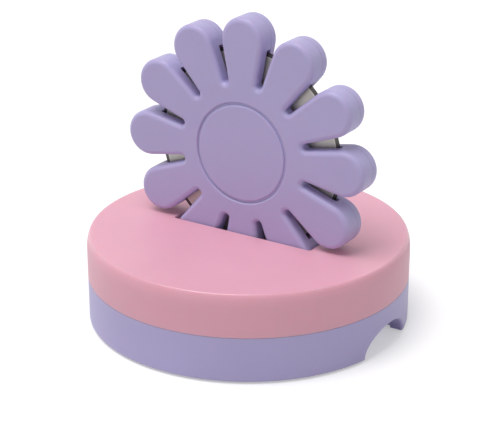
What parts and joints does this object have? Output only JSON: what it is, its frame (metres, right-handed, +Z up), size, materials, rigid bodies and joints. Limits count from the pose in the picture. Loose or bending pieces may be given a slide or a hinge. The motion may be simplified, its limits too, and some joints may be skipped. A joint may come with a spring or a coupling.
{
  "type": "desktop yarn cutter",
  "caption": "Flower-shaped yarn cutter: a circular blade between petal shells is reached through the gaps between petals, and the head stands in a slot of a round two-part stand.",
  "frame": {"origin": "centre of the round stand, on the surface that its feet stand on", "axes": "+Z up, -Y out of the front of the cutter head, +X along the plane of the head towards the finger recess that the picture shows"},
  "size_m": [0.07, 0.07, 0.0671],
  "materials": {
    "pink_plastic": "satin moulded",
    "lavender_plastic": "satin moulded",
    "blade_steel": "ground",
    "plated_steel": "zinc plated",
    "bush_brass": "turned",
    "grey_silicone": "matt"
  },
  "bodies": {
    "stand": {"top_cover": "pink_plastic", "base_tray": "lavender_plastic", "ballast_plate": "plated_steel", "head_cradle": "lavender_plastic", "front_strip": "grey_silicone", "rear_strip": "grey_silicone", "foot_1": "grey_silicone", "foot_2": "grey_silicone", "foot_3": "grey_silicone", "foot_4": "grey_silicone", "cover_screw_1": "plated_steel", "cover_screw_2": "plated_steel", "cover_screw_3": "plated_steel", "cover_screw_4": "plated_steel", "cradle_screw_1": "plated_steel", "cradle_screw_2": "plated_steel"},
    "head": {"front_shell": "lavender_plastic", "rear_shell": "lavender_plastic", "centre_cap": "lavender_plastic", "blade_bush": "bush_brass", "front_washer": "plated_steel", "rear_washer": "plated_steel", "blade_screw": "plated_steel", "shell_screw_1": "plated_steel", "shell_screw_2": "plated_steel", "shell_screw_3": "plated_steel"},
    "blade": {"cutter_blade": "blade_steel"}
  },
  "joints": [
    {"name": "head_lift", "type": "slide", "parent": "stand", "child": "head", "axis": [0, 0, 1], "range_m": [0, 0.012]},
    {"name": "blade_spin", "type": "hinge", "parent": "head", "child": "blade", "pos_m": [0, 0.0003, 0.0377], "axis": [0, 1, 0], "continuous": true}
  ]
}
